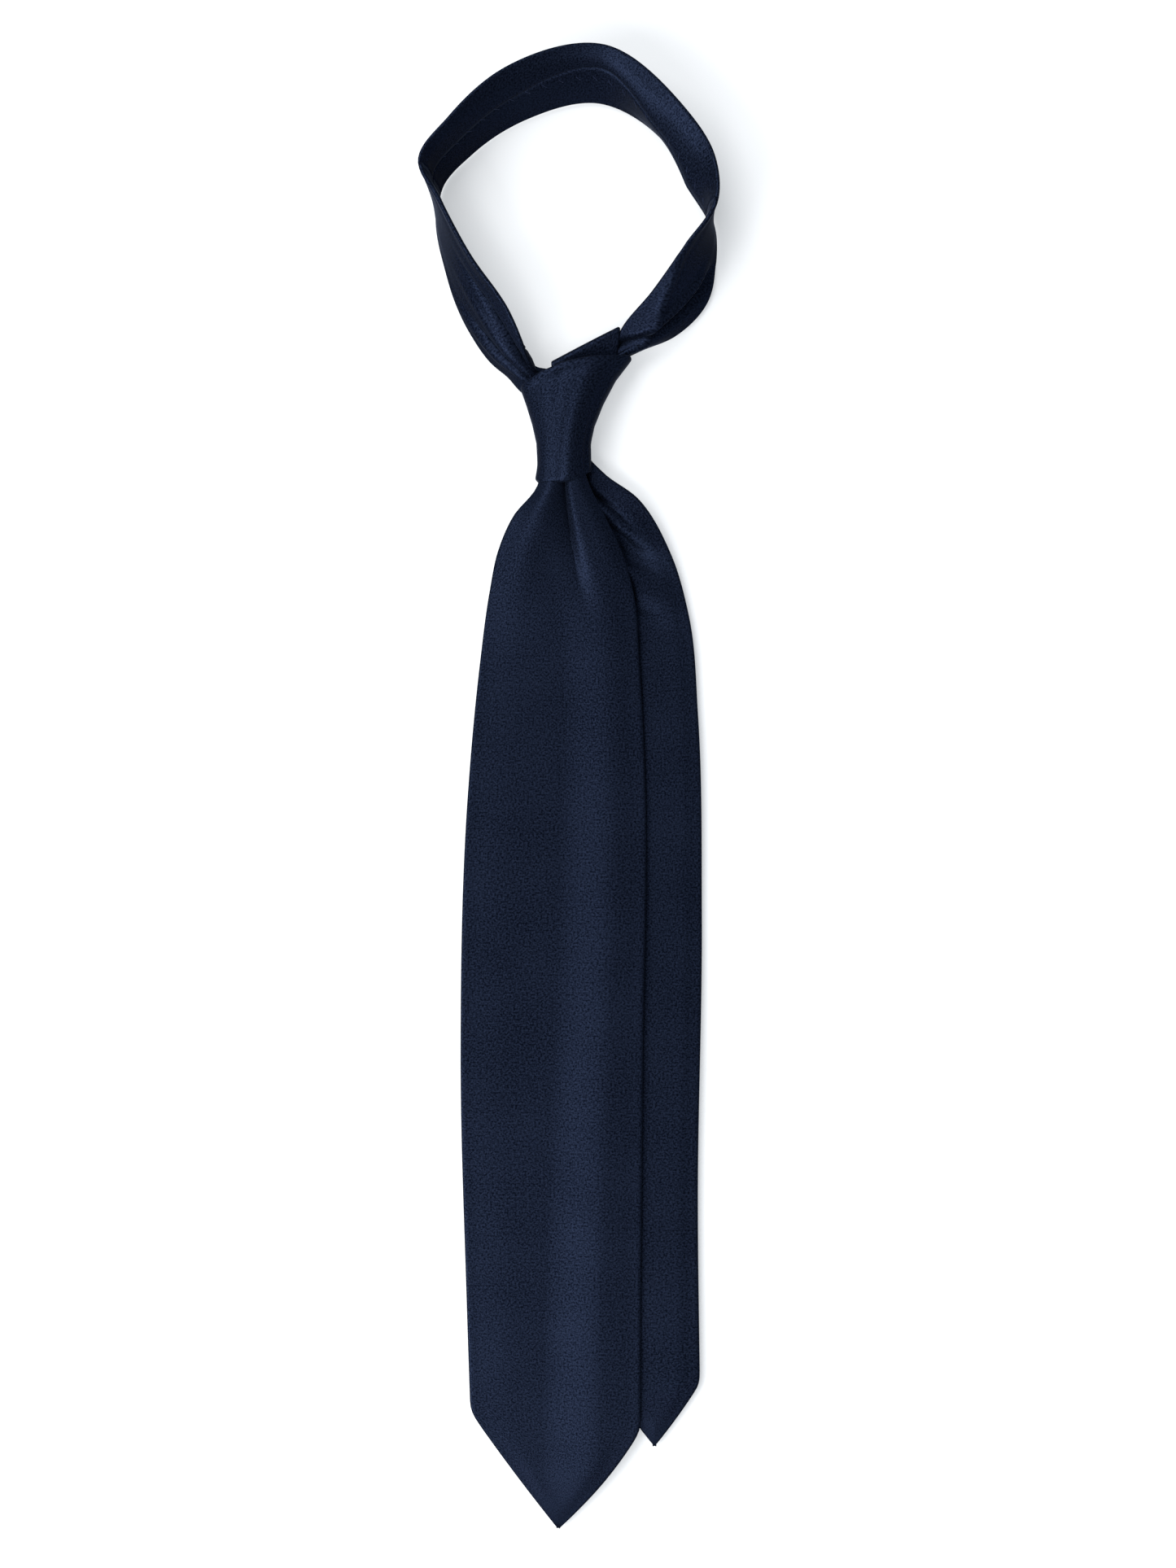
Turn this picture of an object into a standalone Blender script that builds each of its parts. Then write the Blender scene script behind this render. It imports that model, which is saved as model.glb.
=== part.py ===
"""A ready-tied necktie: a four-in-hand knot with its neck loop, blade and tail, lying flat on its back.

Metres, +Z up. The origin is the middle of the knot's back face. +Y runs from the knot to the neck loop,
-Y down the blade to its point, +X to the side where the tail shows, and +Z out of the wearer's chest.
The tie's envelope is one folded strip of cloth; it is split here where it passes from one body to the next.
"""
import math

import bpy
from mathutils import Matrix, Vector

MM = 0.001

# Driving dimensions, in millimetres.
CLOTH = 0.5                 # folded satin envelope
CLEAR = 0.3                 # gap between layers that touch
LINING = 0.2                # tipping
WOOL = 1.0                  # interlining
STRIP = 3.4                 # thickness of the folded strip, front to back
SEAM_SLIT = 0.6             # half the gap between the two folded edges at the centre back
THREAD = 0.25               # radius of the slip-stitch thread
TABLE_GAP = 0.8             # room under the tail for its bar tack
BLADE_GAP = 1.25            # room under the blade for the keeper loop
BAND_LIFT = Vector((0.0, 0.0, 0.85))   # the band's lower edge stands on its rounded fold
KNOT_CLOTH = 2.5            # the wrap round the knot is the whole strip, pressed
LAYER_INSET = 3.0           # inner layers stop this far inside the strip's edges
HEM = 10.0                  # turned hem along the blade's and tail's points

LIFT_AXIS = (-3.0, -26.2, 15.8)     # the blade folds up about the front wrap's lower edge
TAIL_AXIS = (4.0, -26.2, 3.6)       # the tail folds back about its own back face
LOOP_AXIS = (0.0, 18.0, 0.0)        # the loop tilts about the knot's top, at the back

NAVY = (0.016, 0.024, 0.060)
NAVY_LINING = (0.012, 0.017, 0.040)
NAVY_THREAD = (0.010, 0.014, 0.032)
WOOL_GREY = (0.42, 0.40, 0.36)

# Pairs of edge points down each strip, in millimetres: left edge, then right edge, seen from the front.
BLADE_EDGES = [
    ((-15.6, -28.6), (8.8, -26.9)),
    ((-26.0, -42.0), (16.5, -42.0)),
    ((-33.0, -57.0), (24.5, -56.0)),
    ((-36.8, -75.0), (29.8, -74.0)),
    ((-41.2, -108.0), (32.4, -108.0)),
    ((-45.7, -165.0), (34.0, -165.0)),
    ((-49.0, -280.0), (32.9, -280.0)),
    ((-46.2, -395.0), (32.0, -395.0)),
    ((-44.7, -443.0), (31.8, -451.0)),
]
BLADE_POINT = (-5.1, -496.0)
TAIL_EDGES = [
    ((-5.0, -26.6), (13.0, -26.6)),
    ((9.5, -48.0), (29.0, -35.0)),
    ((20.5, -69.0), (45.0, -57.0)),
    ((25.5, -92.0), (53.6, -86.0)),
    ((26.8, -131.0), (57.6, -130.0)),
    ((25.0, -220.0), (59.3, -220.0)),
    ((19.7, -350.0), (57.5, -350.0)),
    ((17.6, -431.0), (58.6, -430.0)),
]
TAIL_POINT = (38.2, -458.7)
# The neck band stands on its lower edge: table edge, then upper edge, clockwise from the knot's left.
LOOP_EDGES = [
    ((-19.5, 20.4, 4.5), (-11.8, 26.4, 12.0)),
    ((-26.5, 19.5, 3.0), (-17.0, 28.5, 15.0)),
    ((-34.8, 29.5, 0.8), (-20.0, 34.5, 22.0)),
    ((-44.5, 42.5, 0.3), (-25.8, 47.0, 27.0)),
    ((-54.9, 68.5, 0.3), (-43.0, 71.5, 30.5)),
    ((-61.0, 94.0, 0.3), (-57.5, 97.0, 32.6)),
    ((-58.0, 106.0, 0.3), (-63.8, 113.0, 31.5)),
    ((-43.5, 123.0, 0.3), (-52.0, 130.5, 31.2)),
    ((-20.0, 138.0, 0.3), (-27.5, 153.0, 28.6)),
    ((14.0, 145.3, 0.3), (15.8, 163.0, 27.8)),
    ((43.0, 130.0, 0.3), (50.0, 138.5, 31.0)),
    ((55.5, 106.0, 0.3), (64.2, 114.5, 30.5)),
    ((61.5, 91.0, 0.3), (62.0, 95.0, 32.4)),
    ((65.3, 73.0, 0.3), (48.0, 72.5, 27.8)),
    ((62.0, 56.5, 0.3), (36.5, 56.0, 20.8)),
    ((47.0, 40.8, 1.5), (28.5, 45.0, 19.0)),
    ((33.5, 36.2, 5.5), (24.6, 43.4, 16.0)),
    ((28.0, 35.4, 7.0), (24.8, 40.0, 14.0)),
]
GUSSET_FROM = 6             # the gusset runs between these two pairs of the loop
GUSSET_TO = 12
WRAP_EDGES = [
    ((-15.7, -26.0), (8.6, -26.0)),
    ((-14.4, -19.0), (9.0, -19.0)),
    ((-14.8, -10.0), (9.4, -10.0)),
    ((-17.0, -1.0), (12.0, 0.0)),
    ((-19.6, 9.0), (18.0, 14.5)),
    ((-21.5, 17.5), (27.5, 32.0)),
]

BLADE_COLUMNS = (0.27, 0.53, 0.80)
PLAIN_COLUMNS = (0.45, 0.80)


def smooth(value):
    """Rise from 0 to 1, level at both ends."""
    t = min(max(value, 0.0), 1.0)
    return t * t * (3.0 - 2.0 * t)


def remove_everything():
    for item in list(bpy.data.objects):
        bpy.data.objects.remove(item, do_unlink=True)


def new_material(name, colour, roughness):
    material = bpy.data.materials.new(name)
    material.use_nodes = True
    shader = material.node_tree.nodes["Principled BSDF"]
    shader.inputs["Base Color"].default_value = (*colour, 1.0)
    shader.inputs["Roughness"].default_value = roughness
    shader.inputs["Metallic"].default_value = 0.0
    material.diffuse_color = (*colour, 1.0)
    return material


def cloth_sheet(name, grid, thickness, colour, roughness=0.5):
    """A grid of points, in millimetres, as a sheet that Solidify thickens behind its face."""
    columns = len(grid[0])
    vertices = [Vector(point) * MM for row in grid for point in row]
    faces = []
    for i in range(len(grid) - 1):
        for j in range(columns - 1):
            corner = i * columns + j
            faces.append((corner, corner + columns, corner + columns + 1, corner + 1))
    mesh = bpy.data.meshes.new(name)
    mesh.from_pydata(vertices, [], faces)
    mesh.shade_smooth()
    sheet = bpy.data.objects.new(name, mesh)
    solid = sheet.modifiers.new("thickness", "SOLIDIFY")
    solid.thickness = thickness * MM
    solid.offset = -1.0
    solid.use_even_offset = True
    mesh.materials.append(new_material(name, colour, roughness))
    PARTS.objects.link(sheet)
    return sheet


def thread_along(name, points, radius):
    """A round thread as a poly curve with filled caps."""
    curve = bpy.data.curves.new(name, "CURVE")
    curve.dimensions = "3D"
    curve.bevel_depth = radius * MM
    curve.bevel_resolution = 1
    curve.use_fill_caps = True
    spline = curve.splines.new("POLY")
    spline.points.add(len(points) - 1)
    for slot, point in zip(spline.points, points):
        slot.co = (*(Vector(point) * MM), 1.0)
    thread = bpy.data.objects.new(name, curve)
    curve.materials.append(new_material(name, NAVY_THREAD, 0.6))
    PARTS.objects.link(thread)
    return thread


def block(name, centre, size, colour, bevel=0.1):
    """A small box with rounded edges, for a bar tack or a strip's hidden stretch."""
    bpy.ops.mesh.primitive_cube_add(size=1.0)
    box = bpy.context.active_object
    box.name = name
    box.data.name = name
    for vertex in box.data.vertices:
        vertex.co = [c * s * MM for c, s in zip(vertex.co, size)]
    box.location = Vector(centre) * MM
    rounding = box.modifiers.new("rounding", "BEVEL")
    rounding.width = bevel * MM
    rounding.segments = 1
    box.data.materials.append(new_material(name, colour, 0.6))
    for collection in list(box.users_collection):
        collection.objects.unlink(box)
    PARTS.objects.link(box)
    return box


def curve_point(points, position):
    """A point at a fractional index of a smooth curve through the given points."""
    last = len(points) - 1
    i = min(int(position), last - 1)
    t = position - i
    here = points[i]
    there = points[i + 1]
    span = (there - here).length
    before = (here - points[i - 1]) if i > 0 else (there - here)
    after = (points[i + 2] - there) if i + 2 <= last else (there - here)
    leave = blend_slope(before, there - here) * span
    arrive = blend_slope(there - here, after) * span
    h00 = 2 * t ** 3 - 3 * t ** 2 + 1
    h10 = t ** 3 - 2 * t ** 2 + t
    h01 = -2 * t ** 3 + 3 * t ** 2
    h11 = t ** 3 - t ** 2
    return here * h00 + leave * h10 + there * h01 + arrive * h11


def blend_slope(incoming, outgoing):
    """Unit-speed slope at a point, weighted towards the nearer neighbour."""
    a = incoming.length
    b = outgoing.length
    return (incoming * (b / a) + outgoing * (a / b)) / (a + b)


def spaced(count, start=0.0, end=1.0):
    return [start + (end - start) * i / (count - 1) for i in range(count)]


def edge_rows(edges, first, last, per_span):
    """Left and right edge points along the smooth strip between two of its pairs."""
    left = [Vector((*pair[0], 0.0)[:3]) for pair in edges]
    right = [Vector((*pair[1], 0.0)[:3]) for pair in edges]
    count = round((last - first) * per_span) + 1
    return [(curve_point(left, p), curve_point(right, p)) for p in spaced(count, first, last)]


def point_rows(edges, point, steps, stop):
    """Rows that narrow in straight lines from the last pair towards the point."""
    left = Vector((*edges[-1][0], 0.0))
    right = Vector((*edges[-1][1], 0.0))
    tip = Vector((*point, 0.0))
    return [(left.lerp(tip, s), right.lerp(tip, s)) for s in spaced(steps + 1, 0.0, stop)[1:]]


def at_side(left, right, u):
    """The point at u times the half width from the middle of a row."""
    return (left + right) / 2 + (right - left) / 2 * u


# How high each strip's back lies over the table.

def tail_left_edge(y):
    """The tail's hidden left edge, as straight stretches between its pairs."""
    edge = [pair[0] for pair in TAIL_EDGES]
    for above, below in zip(edge, edge[1:]):
        if y >= below[1]:
            share = (above[1] - y) / (above[1] - below[1])
            return above[0] + (below[0] - above[0]) * share
    return edge[-1][0]


def tail_height(x, y):
    """The tail lies on the table and climbs into the knot."""
    return TABLE_GAP + 3.0 * smooth((y + 75.0) / 48.0)


def blade_height(x, y):
    """The blade lies on the table at its left, over the tail at its right, and climbs into the knot."""
    climb = smooth((y + 120.0) / 92.0)
    over_tail = smooth((x - tail_left_edge(y) + 34.0) / 26.0)
    over_tail *= smooth((y + 500.0) / 40.0)
    return BLADE_GAP + 10.2 * climb + (STRIP + CLEAR - 0.2) * over_tail * (1.0 - climb)


def laid(point, height, level):
    return (point.x, point.y, height(point.x, point.y) + level)


def layer_grid(rows, height, level, columns, inset):
    """A flat layer inside a strip, its edges inset from the strip's."""
    grid = []
    for left, right in rows:
        half = (right - left).length / 2
        edge = max(half - inset, 0.5 * half) / half
        reach = max(half - 2.0 * LAYER_INSET, 0.4 * half) / half
        inner = [min(c, reach * (0.9 - 0.1 * k)) for k, c in enumerate(reversed(columns))]
        ups = [0.0] + sorted(inner) + [edge]
        us = [-u for u in reversed(ups[1:])] + ups
        grid.append([laid(at_side(left, right, u), height, level) for u in us])
    return grid


def fold_section(half, gap, columns):
    """Across one row: from the left folded edge at the back, round the front, to the right one."""
    r = min(STRIP / 2, 0.18 * half)
    back = [gap]
    for k, column in enumerate(columns):
        back.append(max(column * half, gap + 0.6 * (k + 1)))
    back = [min(b, half - r - 0.2 * (len(back) - k)) for k, b in enumerate(back)]
    turn = []
    for angle in (45, 90, 135):
        out = half - r + r * math.sin(math.radians(angle))
        turn.append((out, STRIP / 2 * (1 - math.cos(math.radians(angle)))))
    half_section = [(b, 0.0) for b in back] + turn
    half_section += [(column * half, STRIP) for column in reversed(columns)]
    left = [(-u, w) for u, w in half_section]
    return left + [(0.0, STRIP)] + list(reversed(half_section))


def flap_gap(y, half, apex):
    """Half the gap between the folded edges: a slit, then an inverted V down to the hems."""
    open_v = SEAM_SLIT + max(apex - y, 0.0) * 0.75
    return max(min(open_v, half - HEM), SEAM_SLIT)


def shell_grid(rows, height, apex, columns):
    """The folded envelope of the blade or the tail."""
    grid = []
    for left, right in rows:
        half = (right - left).length / 2
        gap = flap_gap((left.y + right.y) / 2, half, apex)
        section = fold_section(half, gap, columns)
        grid.append([laid(at_side(left, right, u / half), height, w) for u, w in section])
    return grid


def make_end(name, edges, point, height, apex, columns, per_span, tip_steps):
    """Envelope, interlining, tipping, bar tack and seam thread of one end of the tie."""
    body_rows = edge_rows(edges, 0, len(edges) - 1, per_span)
    tip_rows = point_rows(edges, point, tip_steps, 0.95)
    cloth_sheet(name + "_shell", shell_grid(body_rows + tip_rows, height, apex, columns), CLOTH, NAVY)
    wool_rows = body_rows + tip_rows[:-1]
    wool_top = STRIP - CLOTH - 2.0 * CLEAR
    cloth_sheet(name + "_interlining", layer_grid(wool_rows, height, wool_top, columns, LAYER_INSET), WOOL,
                WOOL_GREY, 0.9)
    lining_rows = [row for row in wool_rows if (row[0].y + row[1].y) / 2 < apex + 25.0]
    lining_top = CLOTH + CLEAR + LINING
    cloth_sheet(name + "_tipping", layer_grid(lining_rows, height, lining_top, columns, 2.0 * LAYER_INSET), LINING,
                NAVY_LINING, 0.4)
    seam = [at_side(left, right, 0.0) for left, right in body_rows if (left.y + right.y) / 2 > apex + 4.0]
    thread_along("slip_stitch_" + name, [laid(p, height, THREAD) for p in seam[1:]], THREAD)
    middle = at_side(*min(body_rows, key=lambda row: abs((row[0].y + row[1].y) / 2 - apex)), 0.0)
    tack_z = height(middle.x, apex) - CLEAR - 0.25
    block(name + "_bar_tack", (middle.x, apex, tack_z), (7.0, 1.4, 0.5), NAVY_THREAD)


def make_blade():
    make_end("blade", BLADE_EDGES, BLADE_POINT, blade_height, -412.0, BLADE_COLUMNS, 2.5, 5)
    keeper_y = -262.0
    keeper_x = -8.0
    keeper_z = BLADE_GAP - CLEAR - CLOTH / 2
    block("keeper_loop", (keeper_x, keeper_y, keeper_z), (44.0, 9.0, CLOTH), NAVY)
    for side, name in ((-1, "keeper_stitches_left"), (1, "keeper_stitches_right")):
        block(name, (keeper_x + side * 23.0, keeper_y, keeper_z), (1.2, 9.0, CLOTH), NAVY_THREAD)


def make_tail():
    make_end("tail", TAIL_EDGES, TAIL_POINT, tail_height, -396.0, PLAIN_COLUMNS, 2.2, 4)


def band_point(left, right, normal, u, w):
    point = at_side(left, right, u) + normal * w
    return tuple(point)


def band_normals(rows):
    """Outer-face normals of the neck band, from its rulings and its direction of travel."""
    normals = []
    for i, (low, high) in enumerate(rows):
        before = rows[max(i - 1, 0)]
        after = rows[min(i + 1, len(rows) - 1)]
        travel = at_side(*after, 0.0) - at_side(*before, 0.0)
        normals.append(travel.cross(high - low).normalized() * -1.0)
    return normals


def band_stretch(rows, normals):
    """Section rows of the band: its outer face to +w, the seam in the middle of its inner face."""
    grid = []
    for (low, high), normal in zip(rows, normals):
        half = (high - low).length / 2
        section = fold_section(half, SEAM_SLIT, PLAIN_COLUMNS)
        grid.append([band_point(low, high, normal, u / half, w - STRIP / 2) for u, w in section])
    return grid


def band_core(rows, normals):
    grid = []
    top = 0.4 * WOOL
    for (low, high), normal in zip(rows, normals):
        half = (high - low).length / 2
        edge = (half - 2.0 * LAYER_INSET) / half
        grid.append([band_point(low, high, normal, u, top) for u in (-edge, -edge / 2, edge / 2, edge)])
    return grid


def make_neck_loop():
    per_span = 3
    rows = edge_rows(LOOP_EDGES, 0, len(LOOP_EDGES) - 1, per_span)
    rows = [(low + BAND_LIFT, high + BAND_LIFT) for low, high in rows]
    normals = band_normals(rows)
    cuts = (0, GUSSET_FROM * per_span, GUSSET_TO * per_span, len(rows) - 1)
    names = ("left", "back", "right")
    for name, start, end in zip(names, cuts, cuts[1:]):
        part_rows = [tuple(edge.copy() for edge in row) for row in rows[start:end + 1]]
        if name != "left":
            pull_back(part_rows, 0, 1)
        part_normals = normals[start:end + 1]
        cloth_sheet("neck_band_" + name, band_stretch(part_rows, part_normals), CLOTH, NAVY)
    cloth_sheet("neck_interlining", band_core(rows, normals), 0.8 * WOOL, WOOL_GREY, 0.9)
    seam = [band_point(low, high, n, 0.0, THREAD - STRIP / 2) for (low, high), n in zip(rows, normals)]
    thread_along("slip_stitch_neck", seam[1:-1], THREAD)


def pull_back(rows, end, neighbour):
    """Draw one end row towards its neighbour, so that joined stretches keep their gap."""
    for side in (0, 1):
        step = (rows[neighbour][side] - rows[end][side]).normalized() * CLEAR
        rows[end][side].xyz = rows[end][side] + step


def arch(left, right, base, crown, angle):
    """A point of the knot's rounded section at an angle from its left side (0) to its right (180)."""
    across = -math.cos(math.radians(angle))
    rise = math.sin(math.radians(angle))
    u = math.copysign(abs(across) ** 0.75, across)
    return (*at_side(left, right, u).xy, base + (crown - base) * rise ** 0.7)


def make_front_wrap():
    rows = edge_rows(WRAP_EDGES, 0, len(WRAP_EDGES) - 1, 2)
    angles = spaced(13, 0.0, 180.0)
    grid = []
    for i, (left, right) in enumerate(rows):
        share = i / (len(rows) - 1)
        crown = 19.5 + 2.5 * math.sin(math.pi * share)
        grid.append([arch(left, right, 3.4, crown, angle) for angle in angles])
    grid.reverse()
    cloth_sheet("knot_front_wrap", grid, KNOT_CLOTH, NAVY)


def slab(name, corners, low, high, colour=NAVY):
    """A flat turn of the strip, as an outline extruded between two heights."""
    curve = bpy.data.curves.new(name, "CURVE")
    curve.dimensions = "2D"
    curve.fill_mode = "BOTH"
    curve.extrude = (high - low) / 2 * MM
    spline = curve.splines.new("POLY")
    spline.points.add(len(corners) - 1)
    for slot, corner in zip(spline.points, corners):
        slot.co = (corner[0] * MM, corner[1] * MM, 0.0, 1.0)
    spline.use_cyclic_u = True
    flat = bpy.data.objects.new(name, curve)
    flat.location.z = (low + high) / 2 * MM
    curve.materials.append(new_material(name, colour, 0.5))
    PARTS.objects.link(flat)
    return flat


def make_over_pass():
    """The last turn: down inside the front wrap, folded over at the knot's top edge."""
    left_side = [(-8.5, -5.0, 12.4), (-8.5, 12.0, 12.6), (-8.2, 18.0, 12.8), (-7.6, 23.5, 13.2),
                 (-7.2, 26.4, 11.0), (-7.0, 24.8, 8.6)]
    right_side = [(5.0, -5.0, 12.4), (10.5, 12.0, 12.6), (15.5, 27.0, 13.0), (21.0, 38.0, 14.2),
                  (22.2, 41.6, 12.0), (21.6, 39.2, 9.6)]
    grid = []
    for left, right in zip(left_side, right_side):
        grid.append([tuple(Vector(left).lerp(Vector(right), s)) for s in spaced(5)])
    grid.reverse()
    cloth_sheet("knot_over_pass", grid, 1.6, NAVY)


def make_knot():
    make_front_wrap()
    make_over_pass()
    slab("knot_back_wrap", [(-14.0, -20.0), (8.0, -20.0), (9.0, -4.0), (20.0, 16.0), (-18.5, 8.0), (-15.0, -4.0)],
         0.0, 3.0)
    slab("knot_inner_turn", [(-10.5, -15.0), (5.0, -15.0), (11.0, 10.0), (-12.5, 10.0)], 8.0, 10.3)
    block("blade_neck", (-3.0, -17.2, 13.0), (12.0, 16.6, 2.6), NAVY, 0.6)
    block("tail_neck", (-1.8, -7.5, 5.6), (12.0, 35.0, 3.2), NAVY, 0.6)


def hang_on_axis(name, axis_point, pieces):
    """An empty on a joint's axis, as the parent of the pieces that turn about it."""
    pivot = bpy.data.objects.new(name, None)
    pivot.location = Vector(axis_point) * MM
    PARTS.objects.link(pivot)
    for piece_name in pieces:
        piece = bpy.data.objects[piece_name]
        piece.parent = pivot
        piece.matrix_parent_inverse = Matrix.Translation(-pivot.location)


PARTS = bpy.data.collections.new("necktie")


def main():
    remove_everything()
    bpy.context.scene.collection.children.link(PARTS)
    make_blade()
    make_tail()
    make_neck_loop()
    make_knot()
    hang_on_axis("blade_axis", LIFT_AXIS, [
        "blade_shell", "blade_interlining", "blade_tipping", "keeper_loop", "keeper_stitches_left",
        "keeper_stitches_right", "slip_stitch_blade", "blade_bar_tack"])
    hang_on_axis("tail_axis", TAIL_AXIS, [
        "tail_shell", "tail_interlining", "tail_tipping", "slip_stitch_tail", "tail_bar_tack"])
    hang_on_axis("loop_axis", LOOP_AXIS, [
        "neck_band_left", "neck_band_back", "neck_band_right", "neck_interlining", "slip_stitch_neck"])


main()
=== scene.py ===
"""Looks for the ready-tied necktie: folded satin strips with their linings, stitches and soft creases.

Sizes are in millimetres in the part's own frame until a mesh is made. The origin is the middle of the
knot's back face, +Y runs to the neck loop, -Y down the blade, and +Z up from the table.
"""

import math

import bpy
import numpy as np
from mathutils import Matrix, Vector


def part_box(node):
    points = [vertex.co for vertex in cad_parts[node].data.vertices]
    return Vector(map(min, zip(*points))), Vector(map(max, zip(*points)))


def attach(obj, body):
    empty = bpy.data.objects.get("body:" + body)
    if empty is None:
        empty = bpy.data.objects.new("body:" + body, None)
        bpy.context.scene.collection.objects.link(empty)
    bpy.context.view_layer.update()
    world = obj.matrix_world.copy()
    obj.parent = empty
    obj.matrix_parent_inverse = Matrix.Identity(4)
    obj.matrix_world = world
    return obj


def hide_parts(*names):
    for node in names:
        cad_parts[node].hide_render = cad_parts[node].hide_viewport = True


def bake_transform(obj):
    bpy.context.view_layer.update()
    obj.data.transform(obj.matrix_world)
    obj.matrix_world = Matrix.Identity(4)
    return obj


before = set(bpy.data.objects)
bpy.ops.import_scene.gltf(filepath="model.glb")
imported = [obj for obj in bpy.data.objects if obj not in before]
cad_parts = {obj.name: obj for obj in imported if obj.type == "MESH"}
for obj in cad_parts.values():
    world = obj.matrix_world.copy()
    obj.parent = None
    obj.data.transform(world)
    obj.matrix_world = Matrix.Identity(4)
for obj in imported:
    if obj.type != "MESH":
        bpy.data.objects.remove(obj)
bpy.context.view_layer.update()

MM = 0.001
SATIN = 0.45                # wall of the folded envelope
SEAM_GAP = 0.12             # half the opening where the two flaps are sewn together
HEM_SLOPE = 0.72            # how fast the flaps part below the bar tack
BLADE_TACK_Y = -410.0       # the bar tacks, where the flaps start to part
TAIL_TACK_Y = -394.0
WRAP_GAP = 0.3              # half the opening behind a short strip that isn't sewn
FOLD_THICKNESS = 2.3        # a pressed strip at its folded edges
ROW_SPACING = 2.6           # between rows of the blade and the tail
THREAD_RADIUS = 0.11
TACK_RADIUS = 0.13
KNOT_FOOT_Y = -26.0         # the front wrap's lower edge, where the gathers start
CAMERA_HEIGHT = 1100.0
VIEW_CENTRE = (8.2, -160.5)
VIEW_HEIGHT = 705.3         # what the frame spans from top to bottom at the table

# Edge points down each strip: left edge, then right edge.
BLADE_EDGES = [
    ((-10.5, -9.0), (4.5, -9.0)),
    ((-12.2, -18.0), (6.0, -18.0)),
    ((-14.4, -28.0), (8.4, -26.4)),
    ((-25.4, -41.6), (15.8, -41.6)),
    ((-32.0, -56.6), (22.7, -55.8)),
    ((-35.8, -74.5), (28.2, -73.6)),
    ((-40.4, -107.6), (31.3, -107.6)),
    ((-45.7, -164.8), (34.0, -164.8)),
    ((-49.0, -279.5), (32.9, -279.5)),
    ((-46.2, -394.0), (32.0, -394.0)),
    ((-44.6, -442.0), (31.8, -449.8)),
]
BLADE_POINT = (-5.1, -494.8)
TAIL_EDGES = [
    ((-9.0, 6.0), (5.0, 6.0)),
    ((-8.0, -12.0), (7.0, -12.0)),
    ((-2.0, -27.0), (15.5, -21.6)),
    ((9.0, -47.0), (30.4, -32.6)),
    ((20.5, -68.0), (45.2, -57.0)),
    ((25.5, -92.0), (53.6, -85.6)),
    ((26.8, -131.0), (57.6, -130.0)),
    ((25.0, -220.0), (59.3, -220.0)),
    ((19.7, -350.0), (57.5, -350.0)),
    ((17.6, -430.0), (58.4, -429.4)),
]
TAIL_POINT = (38.0, -457.8)

# The neck band, clockwise from inside the knot's left: lower edge, upper edge, then how far the face bows
# out between them, where across the band its ridge lies, and how sharp the ridge is.
LOOP_RAILS = [
    ((-15.5, 10.0, 6.0), (-8.0, 15.0, 10.0), 0.0, 0.0, 2.0),
    ((-22.5, 16.0, 4.8), (-15.6, 22.8, 13.0), 1.0, 0.0, 2.0),
    ((-26.6, 21.4, 2.8), (-17.9, 29.0, 16.5), 2.0, 0.0, 2.0),
    ((-35.3, 29.0, 1.5), (-20.2, 35.0, 22.0), 1.5, 0.0, 2.0),
    ((-44.5, 42.0, 1.4), (-25.8, 47.2, 27.0), 0.8, 0.0, 2.0),
    ((-54.9, 68.5, 1.4), (-43.0, 71.5, 31.0), 0.0, 0.0, 2.0),
    ((-59.4, 93.0, 1.4), (-57.0, 97.0, 33.0), 0.0, 0.0, 2.0),
    ((-58.0, 106.0, 1.4), (-64.6, 112.0, 32.0), 0.5, 0.0, 2.0),
    ((-43.5, 123.0, 1.4), (-52.0, 130.5, 31.6), 0.4, 0.0, 1.6),
    ((-20.0, 138.0, 1.4), (-27.5, 153.0, 29.0), -0.8, 0.05, 1.4),
    ((14.0, 145.3, 1.4), (15.8, 163.0, 28.2), -2.0, 0.4, 1.4),
    ((42.0, 129.5, 1.4), (48.5, 137.4, 29.0), -6.6, 0.0, 1.3),
    ((55.5, 106.0, 1.4), (63.2, 114.0, 29.0), -6.4, -0.25, 1.3),
    ((64.0, 91.0, 1.4), (63.5, 95.0, 32.6), -1.5, -0.4, 1.5),
    ((65.3, 73.0, 1.4), (46.8, 72.3, 28.3), 1.6, 0.86, 1.4),
    ((62.0, 56.5, 1.4), (35.0, 56.8, 20.0), 4.6, 0.66, 1.2),
    ((47.0, 40.8, 2.0), (22.8, 42.8, 12.5), 7.2, 0.14, 1.1),
    ((33.5, 34.9, 4.6), (19.4, 36.5, 10.0), 5.4, -0.3, 1.2),
    ((21.0, 28.0, 7.5), (12.5, 29.5, 9.5), 2.0, 0.0, 2.0),
]
GUSSET_FROM = 7.0
GUSSET_TO = 13.0
# The rib down the right leg: the rail it is at, and how far across the band.
RIB_AT = (14.0, 15.0, 16.0, 17.0)
RIB_U = (0.86, 0.66, 0.14, -0.30)

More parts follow.
